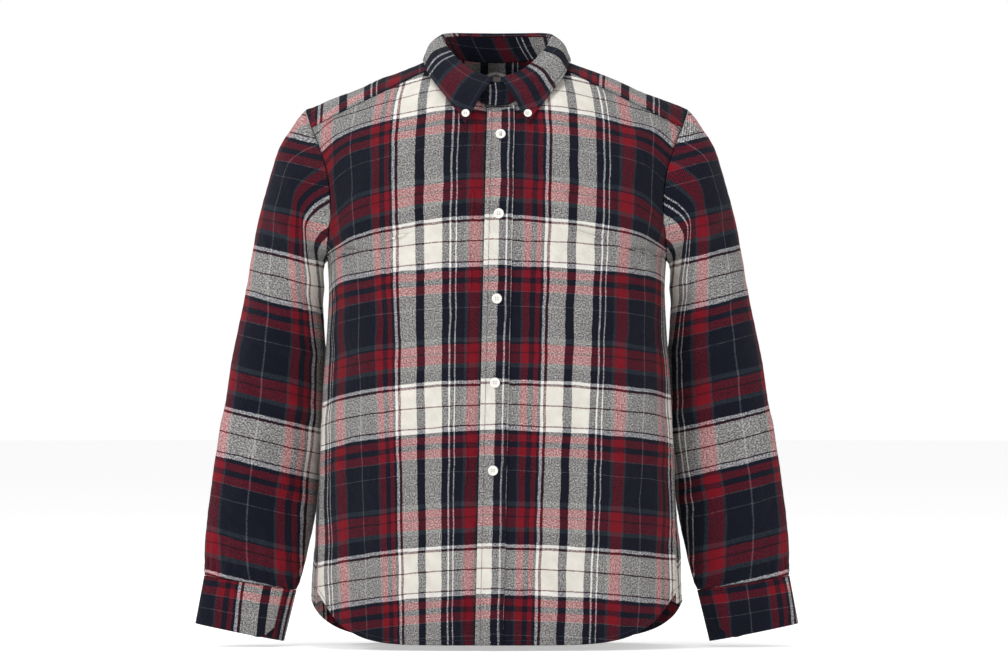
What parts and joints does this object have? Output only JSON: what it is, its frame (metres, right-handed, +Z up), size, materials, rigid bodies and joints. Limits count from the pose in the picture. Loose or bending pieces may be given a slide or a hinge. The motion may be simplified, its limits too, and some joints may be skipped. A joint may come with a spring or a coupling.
{
  "type": "flannel shirt",
  "caption": "Long-sleeved flannel shirt in a check, with a button-down collar, front placket, yoke, barrel cuffs and curved hem, in worn form.",
  "frame": {"origin": "centre of the neck at the height where the shoulders meet the collar, where the shirt rests when worn", "axes": "+X to the wearer's left, +Y to the wearer's back, +Z up along the body; the buttoned front faces -Y"},
  "size_m": [0.7586, 0.2388, 0.77],
  "materials": {
    "flannel": "brushed",
    "button": "satin"
  },
  "bodies": {
    "root": {"front_left": "flannel", "front_right": "flannel", "placket": "flannel", "back": "flannel", "yoke": "flannel", "collar_stand": "flannel", "collar_leaf": "flannel", "sleeve_left": "flannel", "sleeve_right": "flannel", "cuff_left": "flannel", "cuff_right": "flannel", "sleeve_placket_left": "flannel", "sleeve_placket_right": "flannel", "button_1": "button", "button_2": "button", "button_3": "button", "button_4": "button", "button_5": "button", "collar_button_left": "button", "collar_button_right": "button", "cuff_button_left": "button", "cuff_button_right": "button"}
  },
  "joints": []
}
